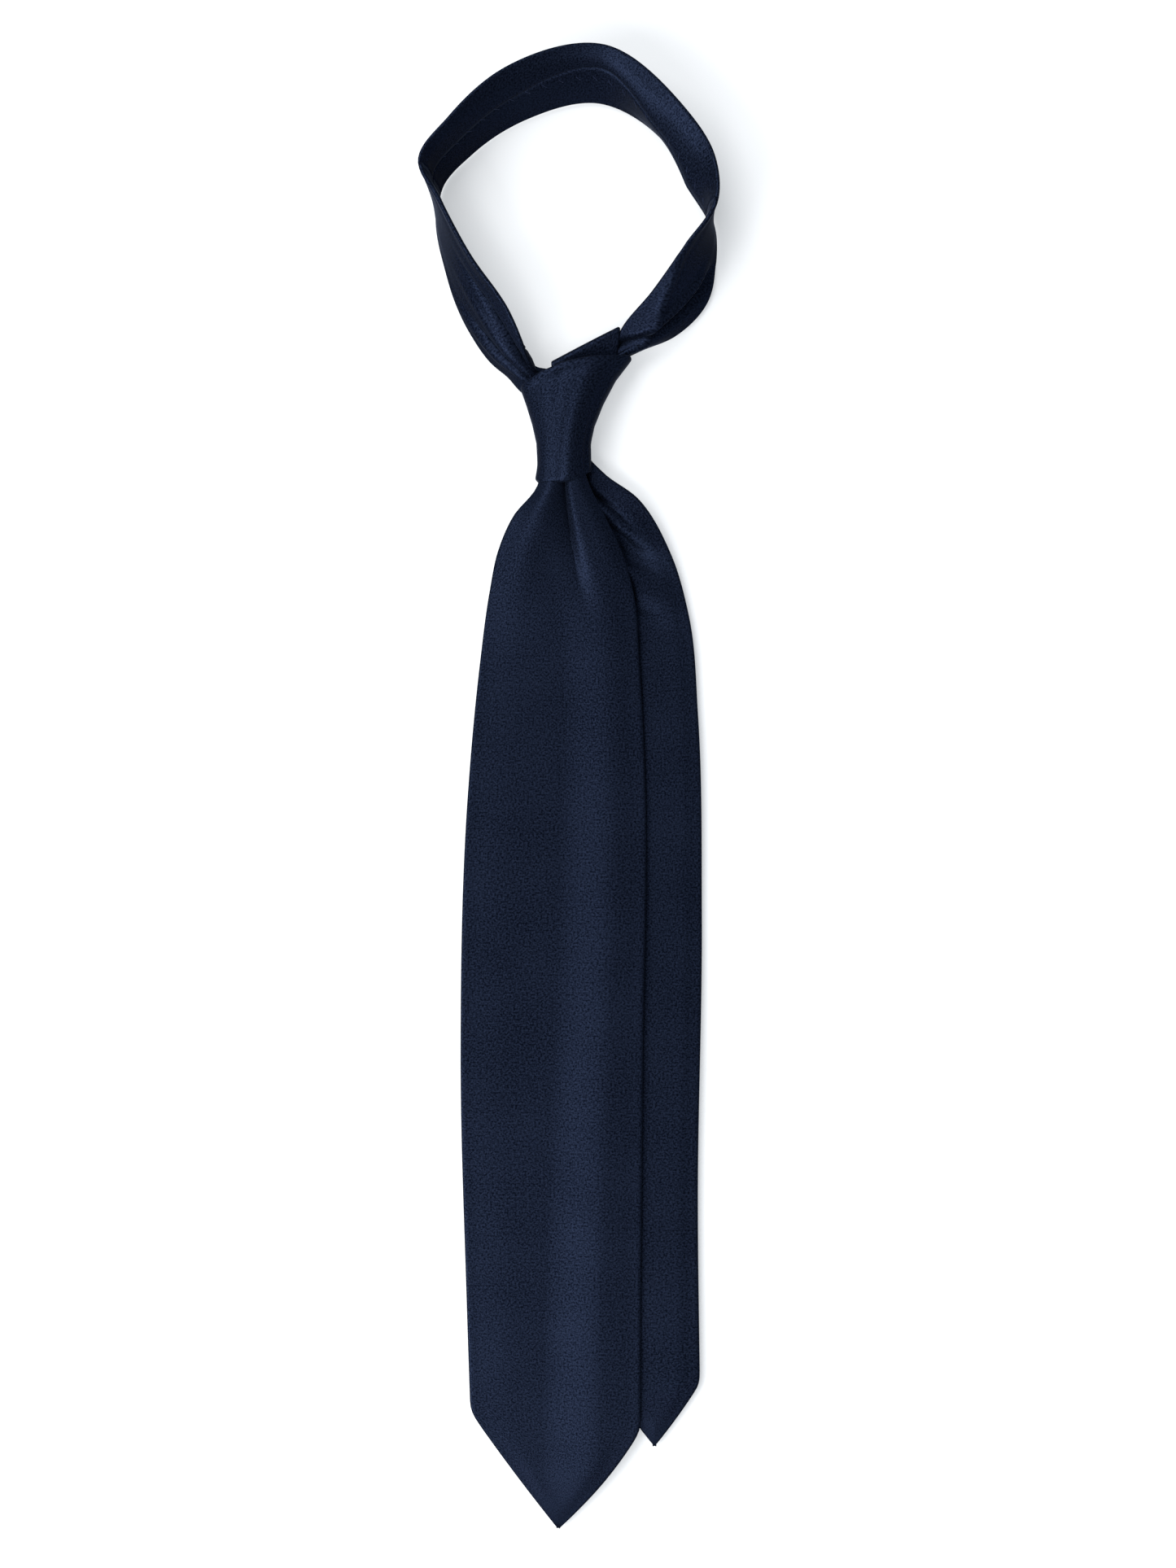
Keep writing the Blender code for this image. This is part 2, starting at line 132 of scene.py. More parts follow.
# The knot's sides at even steps from bottom to top, its height along the middle, and its outlines.
WRAP_SIDES = [(-15.5, 9.8), (-14.5, 9.6), (-14.9, 11.1), (-16.8, 15.3), (-19.4, 20.8), (-22.4, 28.8)]
WRAP_CROWNS = [17.8, 19.6, 20.6, 21.2, 21.4, 21.0]
WRAP_BOTTOM = [(-15.4, -26.6), (-13.5, -28.2), (-3.0, -28.5), (2.2, -27.7), (7.3, -25.4), (9.9, -22.8)]
WRAP_TOP = [(-22.2, 18.6), (-13.2, 23.6), (-7.2, 25.9), (-2.9, 27.8), (9.9, 30.2), (22.7, 31.4), (28.6, 32.0)]
OVER_TOP = ((-8.2, 26.4), (22.6, 42.4))
OVER_FOOT = ((-6.0, 20.0), (19.6, 20.0))
BACK_TOP = [(-19.5, 25.6), (-17.2, 28.0), (-13.7, 26.4), (-9.9, 25.8), (-7.4, 26.1), (2.0, 25.0), (24.0, 27.0)]


# Curves and heights.

def smooth(value):
    """Rise from 0 to 1, level at both ends."""
    t = np.clip(value, 0.0, 1.0)
    return t * t * (3.0 - 2.0 * t)


def rail(points, position):
    """Points at fractional indices of a smooth curve through the given points."""
    p = np.array(points, float)
    if p.ndim == 1:
        p = p[:, None]
    gaps = np.maximum(np.linalg.norm(np.diff(p, axis=0), axis=1), 1e-6)[:, None]
    steps = np.diff(p, axis=0) / gaps
    slopes = np.empty_like(p)
    slopes[0] = steps[0]
    slopes[-1] = steps[-1]
    slopes[1:-1] = (steps[:-1] * gaps[1:] + steps[1:] * gaps[:-1]) / (gaps[1:] + gaps[:-1])
    position = np.asarray(position, float)
    i = np.clip(position.astype(int), 0, len(p) - 2)
    t = (position - i)[:, None]
    out = p[i] * (2 * t ** 3 - 3 * t ** 2 + 1) + p[i + 1] * (3 * t ** 2 - 2 * t ** 3)
    out += slopes[i] * gaps[i] * (t ** 3 - 2 * t ** 2 + t)
    out += slopes[i + 1] * gaps[i] * (t ** 3 - t ** 2)
    return out


def even_positions(points, spacing):
    """Fractional indices that step evenly along the curve."""
    fine = np.linspace(0, len(points) - 1, 40 * len(points))
    path = rail(points, fine)
    run = np.concatenate([[0.0], np.cumsum(np.linalg.norm(np.diff(path, axis=0), axis=1))])
    count = max(int(round(run[-1] / spacing)), 2) + 1
    return np.interp(np.linspace(0, run[-1], count), run, fine)


def strip_rows(edges, point, spacing, bulge):
    """Left and right edge points of a flat strip, down to its point."""
    left = [pair[0] for pair in edges]
    right = [pair[1] for pair in edges]
    middle = [((a[0] + b[0]) / 2, (a[1] + b[1]) / 2) for a, b in edges]
    positions = even_positions(middle, spacing)
    left_rows = rail(left, positions)
    right_rows = rail(right, positions)
    down = np.linspace(0.0, 0.985, int(round(50.0 / spacing)) + 1)[1:]
    ends = []
    for rows, side in ((left_rows, -1), (right_rows, 1)):
        corner = rows[-1]
        run = np.array(point) - corner
        out = np.array([-run[1], run[0]]) / np.linalg.norm(run) * side
        out = out if out[0] * side > 0 else -out
        bow = bulge[0] if side < 0 else bulge[1]
        tip = corner + np.outer(down, run) + np.outer(4 * down * (1 - down) * bow, out)
        ends.append(np.vstack([rows, tip]))
    return round_corners(ends[0], len(left_rows) - 1), round_corners(ends[1], len(right_rows) - 1)


def round_corners(rows, corner):
    """Soften the outline's corner without moving the rest."""
    rows = rows.copy()
    for _ in range(3):
        near = slice(corner - 2, corner + 3)
        middle = (rows[corner - 3:corner + 2] + rows[corner - 1:corner + 4]) / 2
        rows[near] = rows[near] * 0.55 + middle * 0.45
    return rows


def edge_x(edges, side, y):
    """The x at y of a strip's left edge (side 0) or right edge (side 1)."""
    edge = np.array([pair[side] for pair in edges])[::-1]
    return np.interp(y, edge[:, 1], edge[:, 0])


def ripple(x, y, seed):
    """Long, shallow waves in cloth that lies loose."""
    a = np.sin(x / 17.0 + y / 46.0 + seed) + np.sin(-x / 23.0 + y / 31.0 + 2.1 * seed)
    return a + 0.7 * np.sin(y / 19.0 + x / 40.0 + 3.7 * seed)


def tail_height(x, y, u):
    """Height of the tail's middle surface: flat on the table, puckered inside its bend, up into the knot."""
    climb = smooth((y + 82.0) / 58.0)
    inner = smooth((1.0 - u) / 1.2)
    near = smooth((y + 96.0) / 22.0) * smooth((-26.0 - y) / 9.0)
    pucker = -2.7 * np.sin((y + 37.0 + 4.0 * u) * 2 * math.pi / 29.0)
    pucker = pucker + 0.35 * np.sin((y + 30.0 - 6.0 * u) * 2 * math.pi / 9.5) * smooth((y + 56.0) / 14.0)
    beside_blade = x - edge_x(BLADE_EDGES, 1, y)
    shows = smooth((beside_blade + 2.5) / 4.5)
    pucker = np.where(pucker > 0.0, 0.5 * pucker, pucker)
    small = -0.95 * (1.0 + np.sin((y + 0.75 * x) * 2 * math.pi / 8.4))
    pucker = pucker + small * smooth((y + 62.0) / 16.0) * smooth((15.0 - beside_blade) / 9.0)
    loose = 0.12 * ripple(x, y, 0.7) * smooth((-90.0 - y) / 60.0)
    return 3.0 + (2.0 + 1.6 * shows) * climb + pucker * inner * near * shows + loose


def blade_height(x, y, u):
    """Height of the blade's middle surface: on the table, over the tail, and gathered into the knot."""
    climb = smooth((y + 132.0) / 104.0)
    over_tail = smooth((x - edge_x(TAIL_EDGES, 0, y) + 30.0) / 26.0) * smooth((y + 500.0) / 40.0)
    spread = 3.0 + 3.4 * over_tail * (1.0 - 0.6 * climb)
    arch = 1.0 - 0.42 * np.abs(u) ** 2.4
    loose = smooth((-110.0 - y) / 90.0)
    return spread + 11.2 * climb * arch + 0.16 * ripple(x, y, 0.2) * loose + gathers(x, y)


def gathers(x, y):
    """The dimple under the knot, the ridge to its right and the soft folds that fan out from it."""
    down = np.maximum(KNOT_FOOT_Y - y, 0.0)
    crease_x = -1.6 + 0.035 * down + 0.0022 * down ** 2
    depth = 5.6 * smooth((66.0 - down) / 58.0)
    left_fan = np.exp(-np.abs(x - crease_x) / (2.4 + 0.22 * down))
    right_wall = np.exp(-((x - crease_x) / (0.9 + 0.075 * down)) ** 2)
    dimple = -depth * np.where(x < crease_x, left_fan, 0.85 * right_wall + 0.15 * left_fan)
    ridge_x = 4.5 + 0.46 * down
    ridge = 1.5 * smooth((70.0 - down) / 40.0) * np.exp(-((x - ridge_x) / (3.0 + 0.09 * down)) ** 2)
    fold_x = -8.0 - 0.36 * down
    fold = 1.1 * smooth((76.0 - down) / 44.0) * np.exp(-((x - fold_x) / (3.6 + 0.12 * down)) ** 2)
    return dimple + ridge + fold


# Strips of folded satin.

class Strip:
    """A surface down a strip: points and normals at any place across it, and its thickness there."""

    def __init__(self, half, place, thickness):
        self.half = half
        self.place = place
        self.thickness = thickness

    def frame_at(self, u):
        """Points, outward normals and across directions at u, given as rows by columns."""
        step = 0.02
        here = self.place(u)
        across = self.place(np.clip(u + step, -1.2, 1.2)) - self.place(np.clip(u - step, -1.2, 1.2))
        across /= np.maximum(np.linalg.norm(across, axis=2, keepdims=True), 1e-9)
        along = np.gradient(here, axis=0)
        normal = np.cross(across, along)
        normal /= -np.maximum(np.linalg.norm(normal, axis=2, keepdims=True), 1e-9)
        return here, normal, across


def column_table(rows, values):
    """The same places across for every row."""
    return np.repeat(np.asarray(values, float)[None, :], rows, axis=0)


def folded_grid(strip, gap, front_columns=29, flap_columns=12, turn_points=5, seam=0.0):
    """The envelope's outer skin: left flap, round the fold, across the front, and round to the right flap.

    The gap is half the opening between the flaps, and the seam is where they meet, as a share across.
    """
    rows = len(strip.half)
    half = strip.half[:, None]
    full = column_table(rows, [1.0])
    radius = strip.thickness(full) / 2
    radius = np.minimum(radius, 0.45 * half)
    reach = 1.0 - radius / half
    across_front = column_table(rows, np.linspace(-1, 1, front_columns)) * reach
    pieces = []
    gap_u = np.minimum(gap[:, None] / half, reach * 0.9)
    share = column_table(rows, np.linspace(0, 1, flap_columns) ** 0.8)
    flap = gap_u + (reach - gap_u) * share
    for side in (-1, 1):
        meet = np.reshape(seam, (-1, 1)) * (1.0 - share)
        p, n, across = strip.frame_at(side * flap + meet)
        back = p - n * edge_limited(strip, side * flap + meet, radius) / 2
        pe, ne, ae = strip.frame_at(side * reach)
        # Two columns turn the flap's raw edge in, out of sight.
        tuck = back[:, :1] + n[:, :1] * np.array([[1.1], [0.45]])[None] - across[:, :1] * side * 0.12
        tuck = tuck + across[:, :1] * side * np.array([[0.55], [0.0]])[None]
        back = np.concatenate([tuck, back], axis=1)
        turn = []
        for angle in np.linspace(0, math.pi, turn_points + 2)[1:-1]:
            turn.append(pe + ae * side * radius[..., None] * math.sin(angle)
                        - ne * radius[..., None] * math.cos(angle))
        pieces.append((back, np.concatenate(turn, axis=1)))
    p, n, _ = strip.frame_at(across_front)
    front = p + n * edge_limited(strip, across_front, radius) / 2
    left_back, left_turn = pieces[0]
    right_back, right_turn = pieces[1]
    return np.concatenate([left_back, left_turn, front, right_turn[:, ::-1], right_back[:, ::-1]], axis=1)


def edge_limited(strip, u, radius):
    """Thickness across the strip, easing to the fold's own diameter at its edges."""
    mix = smooth((1.0 - np.abs(u)) * strip.half[:, None] / 9.0)
    return (2 * radius * (1 - mix) + strip.thickness(u) * mix)[..., None]


def mesh_from_grid(name, grid):
    """A quad mesh from rows by columns of points in millimetres, with a UV map in metres of cloth."""
    rows, columns = grid.shape[:2]
    mesh = bpy.data.meshes.new(name)
    index = np.arange(rows * columns).reshape(rows, columns)
    here = index[:, :-1]
    beside = index[:, 1:]
    faces = np.stack([here[:-1], here[1:], beside[1:], beside[:-1]], axis=-1).reshape(-1, 4)
    mesh.from_pydata((grid.reshape(-1, 3) * MM).tolist(), [], faces.tolist())
    widths = np.linalg.norm(np.diff(grid, axis=1), axis=2).mean(axis=0)
    lengths = np.linalg.norm(np.diff(grid, axis=0), axis=2).mean(axis=1)
    us = np.concatenate([[0.0], np.cumsum(widths)])
    vs = np.concatenate([[0.0], np.cumsum(lengths)])
    uv = np.stack(np.meshgrid(us, vs), axis=-1).reshape(-1, 2) * MM
    layer = mesh.uv_layers.new(name="cloth")
    corners = np.array([loop.vertex_index for loop in mesh.loops])
    layer.data.foreach_set("uv", uv[corners].astype(np.float32).ravel())
    mesh.shade_smooth()
    obj = bpy.data.objects.new(name, mesh)
    bpy.context.scene.collection.objects.link(obj)
    return obj


def thicken(obj, thickness, offset=-1.0):
    """Give a sheet its wall: inwards from the outer skin, or about its middle with an offset of 0."""
    solid = obj.modifiers.new("cloth", "SOLIDIFY")
    solid.thickness = thickness * MM
    solid.offset = offset
    return obj


def tube_grid(path, radius, sides=8):
    """A thread along a path, as rows by sides of points."""
    path = np.array(path, float)
    tangent = np.gradient(path, axis=0)
    tangent /= np.maximum(np.linalg.norm(tangent, axis=1, keepdims=True), 1e-9)
    up = np.tile([0.0, 0.0, 1.0], (len(path), 1))
    side = np.cross(tangent, up)
    flat = np.linalg.norm(side, axis=1) < 1e-3
    side[flat] = np.cross(tangent[flat], [1.0, 0.0, 0.0])
    side /= np.linalg.norm(side, axis=1, keepdims=True)
    over = np.cross(side, tangent)
    angles = np.linspace(0, 2 * math.pi, sides, endpoint=False)
    ring = np.cos(angles)[None, :, None] * side[:, None] + np.sin(angles)[None, :, None] * over[:, None]
    return path[:, None] + ring * radius


def threads(name, paths, radius, material):
    """Several thread paths as one mesh of capped tubes."""
    vertices = []
    faces = []
    for path in paths:
        grid = tube_grid(path, radius)
        rows, sides = grid.shape[:2]
        base = len(vertices)
        vertices.extend(grid.reshape(-1, 3) * MM)
        for i in range(rows - 1):
            for j in range(sides):
                k = (j + 1) % sides
                faces.append((base + i * sides + j, base + i * sides + k,
                              base + (i + 1) * sides + k, base + (i + 1) * sides + j))
        faces.append(tuple(base + j for j in reversed(range(sides))))
        faces.append(tuple(base + (rows - 1) * sides + j for j in range(sides)))
    mesh = bpy.data.meshes.new(name)
    mesh.from_pydata([tuple(v) for v in vertices], [], faces)
    mesh.shade_smooth()
    obj = bpy.data.objects.new(name, mesh)
    bpy.context.scene.collection.objects.link(obj)
    finish_piece(obj, material)
    return obj


def finish_piece(obj, material):
    obj.data.materials.append(material)


def satin_piece(name, grid, wall=SATIN):
    """A folded strip's outer skin as a piece of satin."""
    piece = thicken(mesh_from_grid(name, grid), wall)
    finish_piece(piece, satin)
    return piece


# Materials.

def link(tree, source, target):
    tree.links.new(source, target)


def cloth_material(name, dark, light, roughness, sheen, floats_shine, grain=1.0, weave=0.00032, bump=0.25):
    """Woven cloth: fine diagonal floats, mottled dye and a soft sheen.

    The weave is one float's width in metres, the grain is how strongly the cloth is mottled, and floats_shine
    is how much of the light the floats throw back as metal does, in their own colour.
    """
    material = bpy.data.materials.new(name)
    material.use_nodes = True
    tree = material.node_tree
    nodes = tree.nodes
    shader = nodes["Principled BSDF"]
    uv = nodes.new("ShaderNodeUVMap")
    uv.uv_map = "cloth"
    turn = nodes.new("ShaderNodeMapping")
    turn.inputs["Rotation"].default_value = (0.0, 0.0, math.radians(45))
    turn.inputs["Scale"].default_value = (1.0 / weave, 1.0 / (4.0 * weave), 1.0)
    link(tree, uv.outputs["UV"], turn.inputs["Vector"])
    floats = nodes.new("ShaderNodeTexNoise")
    floats.inputs["Scale"].default_value = 1.0
    floats.inputs["Detail"].default_value = 2.0
    link(tree, turn.outputs["Vector"], floats.inputs["Vector"])
    mottle = nodes.new("ShaderNodeTexNoise")
    mottle.inputs["Scale"].default_value = 1250.0
    mottle.inputs["Detail"].default_value = 3.0
    link(tree, uv.outputs["UV"], mottle.inputs["Vector"])
    cloud = nodes.new("ShaderNodeTexNoise")
    cloud.inputs["Scale"].default_value = 28.0
    cloud.inputs["Detail"].default_value = 2.0
    link(tree, uv.outputs["UV"], cloud.inputs["Vector"])
    weave_tone = nodes.new("ShaderNodeMath")
    weave_tone.operation = "MULTIPLY_ADD"
    weave_tone.inputs[1].default_value = 0.9 * grain
    link(tree, floats.outputs["Fac"], weave_tone.inputs[0])
    dye_tone = nodes.new("ShaderNodeMath")
    dye_tone.operation = "MULTIPLY_ADD"
    dye_tone.inputs[1].default_value = 2.4 * grain
    dye_tone.inputs[2].default_value = -1.35 * grain
    link(tree, mottle.outputs["Fac"], dye_tone.inputs[0])
    link(tree, dye_tone.outputs["Value"], weave_tone.inputs[2])
    cloth_tone = nodes.new("ShaderNodeMath")
    cloth_tone.operation = "MULTIPLY_ADD"
    cloth_tone.inputs[1].default_value = 0.35
    link(tree, cloud.outputs["Fac"], cloth_tone.inputs[0])
    link(tree, weave_tone.outputs["Value"], cloth_tone.inputs[2])
    ramp = nodes.new("ShaderNodeValToRGB")
    ramp.color_ramp.elements[0].position = 0.10
    ramp.color_ramp.elements[0].color = (*dark, 1.0)
    ramp.color_ramp.elements[1].position = 0.85
    ramp.color_ramp.elements[1].color = (*light, 1.0)
    link(tree, cloth_tone.outputs["Value"], ramp.inputs["Fac"])
    link(tree, ramp.outputs["Color"], shader.inputs["Base Color"])
    rough = nodes.new("ShaderNodeMapRange")
    rough.inputs["To Min"].default_value = roughness - 0.07
    rough.inputs["To Max"].default_value = roughness + 0.09
    link(tree, mottle.outputs["Fac"], rough.inputs["Value"])
    link(tree, rough.outputs["Result"], shader.inputs["Roughness"])
    shader.inputs["IOR"].default_value = 1.06
    shader.inputs["Metallic"].default_value = floats_shine
    shader.inputs["Specular IOR Level"].default_value = 0.5
    shader.inputs["Specular Tint"].default_value = (0.14, 0.18, 0.28, 1.0)
    shader.inputs["Sheen Weight"].default_value = sheen
    shader.inputs["Sheen Roughness"].default_value = 0.45
    shader.inputs["Sheen Tint"].default_value = (0.45, 0.60, 1.0, 1.0)
    relief = nodes.new("ShaderNodeBump")
    relief.inputs["Strength"].default_value = bump
    relief.inputs["Distance"].default_value = 0.00008
    link(tree, weave_tone.outputs["Value"], relief.inputs["Height"])
    link(tree, relief.outputs["Normal"], shader.inputs["Normal"])
    return material


def floor_material():
    material = bpy.data.materials.new("white_table")
    material.use_nodes = True
    shader = material.node_tree.nodes["Principled BSDF"]
    shader.inputs["Base Color"].default_value = (0.36, 0.365, 0.37, 1.0)
    shader.inputs["Emission Color"].default_value = (0.95, 0.975, 1.0, 1.0)
    shader.inputs["Emission Strength"].default_value = 0.46
    shader.inputs["Roughness"].default_value = 0.85
    shader.inputs["Specular IOR Level"].default_value = 0.1
    return material


satin = cloth_material("navy_satin", (0.0012, 0.0019, 0.0046), (0.0086, 0.0124, 0.0250),
                       roughness=0.42, sheen=0.03, floats_shine=0.60)
lining = cloth_material("navy_lining", (0.0020, 0.0030, 0.0066), (0.0078, 0.0110, 0.0220),
                        roughness=0.42, sheen=0.0, floats_shine=0.6, grain=0.8)
wool = cloth_material("wool_interlining", (0.30, 0.28, 0.24), (0.52, 0.49, 0.43),
                      roughness=0.9, sheen=0.2, floats_shine=0.0, grain=1.4, weave=0.0008, bump=0.6)
thread = cloth_material("navy_thread", (0.0080, 0.0110, 0.0260), (0.0200, 0.0260, 0.0560),
                        roughness=0.5, sheen=0.2, floats_shine=0.2)


# The blade and the tail.

def flat_strip(edges, point, height, bulge, thick):
    """A strip that lies flat down to its point, with its left and right edge points."""
    left, right = strip_rows(edges, point, ROW_SPACING, bulge)
    half = np.linalg.norm(right - left, axis=1) / 2

    def place(u):
        xy = (left + right)[:, None] / 2 + (right - left)[:, None] / 2 * u[..., None]
        z = height(xy[..., 0], xy[..., 1], u)
        return np.concatenate([xy, z[..., None]], axis=2)

    def thickness(u):
        narrow = smooth(half / 9.0)[:, None]
        fuller = (thick - FOLD_THICKNESS) * smooth((1.0 - np.abs(u)) / 0.5)
        return (FOLD_THICKNESS + fuller) * (0.55 + 0.45 * narrow)

    return Strip(half, place, thickness), left, right


def flap_gap(left, right, apex, hem):
    """Half the opening between the two flaps: a closed seam, then an inverted V down to the hems."""
    y = (left[:, 1] + right[:, 1]) / 2
    half = np.linalg.norm(right - left, axis=1) / 2
    opening = SEAM_GAP + np.maximum(apex - y, 0.0) * HEM_SLOPE
    return np.maximum(np.minimum(opening, half - hem), SEAM_GAP)


def inner_sheet(name, strip, rows, inset, offset, thickness, material, columns=21):
    """A layer inside the envelope, a set depth behind its middle surface."""
    half = strip.half[:, None]
    reach = np.maximum(1.0 - inset / half, 0.25)
    u = column_table(len(strip.half), np.linspace(-1, 1, columns)) * reach
    p, n, _ = strip.frame_at(u)
    grid = (p + n * offset)[rows]
    obj = thicken(mesh_from_grid(name, grid), thickness, 0.0)
    finish_piece(obj, material)
    return obj


def slip_stitches(strip, rows, gap_depth, pitch=3):
    """Little slanted stitches that draw the two folded edges together down the centre back."""
    half = strip.half[:, None]
    paths = []
    reach = 1.1                 # how far from the seam's middle a stitch starts and ends
    ends = [strip.frame_at(column_table(len(strip.half), [s]) * reach / half) for s in (-1.0, 1.0)]
    outer = [e[0][:, 0] - e[1][:, 0] * gap_depth for e in ends]
    for i in range(rows[0], rows[1] - pitch, pitch):
        a = outer[0][i]
        b = outer[1][i + 1]
        middle = (a + b) / 2 - ends[0][1][i, 0] * 0.12
        sink = ends[0][1][i, 0] * 0.35
        paths.append([a + sink, a, middle, b, b + sink])
    return paths


def bar_tack(strip, row, depth, width, length, turns=11):
    """A dense zigzag of thread across the seam."""
    half = strip.half[:, None]
    path = []
    for k in range(2 * turns + 1):
        side = -1 if k % 2 else 1
        u = column_table(len(strip.half), [side * width / 2]) / half
        p, n, _ = strip.frame_at(u)
        along = (p[row + 1, 0] - p[row, 0]) / np.linalg.norm(p[row + 1, 0] - p[row, 0])
        shift = (k / (2 * turns) - 0.5) * length
        path.append(p[row, 0] - n[row, 0] * depth + along * shift)
    return [path]


def row_at(left, right, y):
    """The row nearest to a height down the strip."""
    return int(np.argmin(np.abs((left[:, 1] + right[:, 1]) / 2 - y)))


def make_blade():
    strip, left, right = flat_strip(BLADE_EDGES, BLADE_POINT, blade_height, bulge=(0.6, 2.0), thick=3.3)
    gap = flap_gap(left, right, BLADE_TACK_Y, hem=9.5)
    shell = satin_piece("blade_envelope", folded_grid(strip, gap, 71, 14, 7))
    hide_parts("blade_shell", "blade_neck")
    last = len(left) - 1
    core_rows = slice(row_at(left, right, -20.0), last - 4)
    core = inner_sheet("blade_core", strip, core_rows, inset=3.4, offset=0.0, thickness=1.0,
                       material=wool)
    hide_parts("blade_interlining")
    lining_rows = slice(row_at(left, right, BLADE_TACK_Y + 25.0), last - 3)
    tipping = inner_sheet("blade_lining", strip, lining_rows, inset=3.0, offset=-0.86, thickness=0.14,
                          material=lining)
    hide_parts("blade_tipping")
    seam_rows = (row_at(left, right, -60.0), row_at(left, right, BLADE_TACK_Y + 3.0))
    seam = threads("blade_seam_stitches", slip_stitches(strip, seam_rows, 1.62), THREAD_RADIUS, thread)
    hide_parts("slip_stitch_blade")
    tack_path = bar_tack(strip, row_at(left, right, BLADE_TACK_Y), depth=1.72, width=7.0, length=1.5)
    tack = threads("blade_tack_stitches", tack_path, TACK_RADIUS, thread)
    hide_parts("blade_bar_tack")
    keeper, keeper_stitches = make_keeper()
    for piece in (shell, core, tipping, seam, tack, keeper, *keeper_stitches):
        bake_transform(piece)


def make_keeper():
    """The loop across the blade's back that takes the tail: a small folded strip, sewn down at both ends."""
    low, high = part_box("keeper_loop")
    x0, x1 = low[0] / MM, high[0] / MM
    y = (low[1] + high[1]) / 2 / MM
    xs = np.linspace(x0, x1, 25)
    half_width = 4.5
    sag = 0.32 * np.sin(np.linspace(0, math.pi, 25)) ** 0.5
    z = 0.75 - sag              # its ends are sewn up against the blade, its middle hangs free

    def place(u):
        p = np.empty((len(xs), u.shape[1], 3))
        p[..., 0] = xs[:, None]
        p[..., 1] = y + u * half_width
        p[..., 2] = z[:, None]
        return p

    keeper_strip = Strip(np.full(len(xs), half_width), place, lambda u: np.full(u.shape, 0.55))
    grid = folded_grid(keeper_strip, np.full(len(xs), WRAP_GAP), 9, 5, 3)
    keeper = satin_piece("keeper_band", grid, wall=0.16)
    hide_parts("keeper_loop")
    rows_of_stitches = []
    turns = 14
    for side, node in ((-1, "keeper_stitches_left"), (1, "keeper_stitches_right")):
        x = (x0 + x1) / 2 + side * ((x1 - x0) / 2 - 1.2)
        path = []
        for k in range(turns + 1):
            path.append((x + (0.7 if k % 2 else -0.7), y - 4.2 + 8.4 * k / turns, 0.30))
        stitches = threads(node.replace("keeper_stitches", "keeper_sewing"), [path], 0.12, thread)
        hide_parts(node)
        rows_of_stitches.append(stitches)
    return keeper, rows_of_stitches


def make_tail():
    strip, left, right = flat_strip(TAIL_EDGES, TAIL_POINT, tail_height, bulge=(0.5, 0.6), thick=3.2)
    gap = flap_gap(left, right, TAIL_TACK_Y, hem=7.0)
    shell = satin_piece("tail_envelope", folded_grid(strip, gap, 25, 9, 7))
    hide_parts("tail_shell", "tail_neck")
    last = len(left) - 1
    core_rows = slice(row_at(left, right, -20.0), last - 4)
    core = inner_sheet("tail_core", strip, core_rows, inset=3.0, offset=0.0, thickness=1.0,
                       material=wool, columns=15)
    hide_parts("tail_interlining")
    lining_rows = slice(row_at(left, right, TAIL_TACK_Y + 25.0), last - 3)
    tipping = inner_sheet("tail_lining", strip, lining_rows, inset=2.8, offset=-0.82, thickness=0.14,
                          material=lining, columns=15)
    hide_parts("tail_tipping")
    seam_rows = (row_at(left, right, -60.0), row_at(left, right, TAIL_TACK_Y + 3.0))
    seam = threads("tail_seam_stitches", slip_stitches(strip, seam_rows, 1.56), THREAD_RADIUS, thread)
    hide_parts("slip_stitch_tail")
    tack_path = bar_tack(strip, row_at(left, right, TAIL_TACK_Y), depth=1.66, width=6.0, length=1.4)
    tack = threads("tail_tack_stitches", tack_path, TACK_RADIUS, thread)
    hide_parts("tail_bar_tack")
    for piece in (shell, core, tipping, seam, tack):
        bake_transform(piece)


# The neck loop.

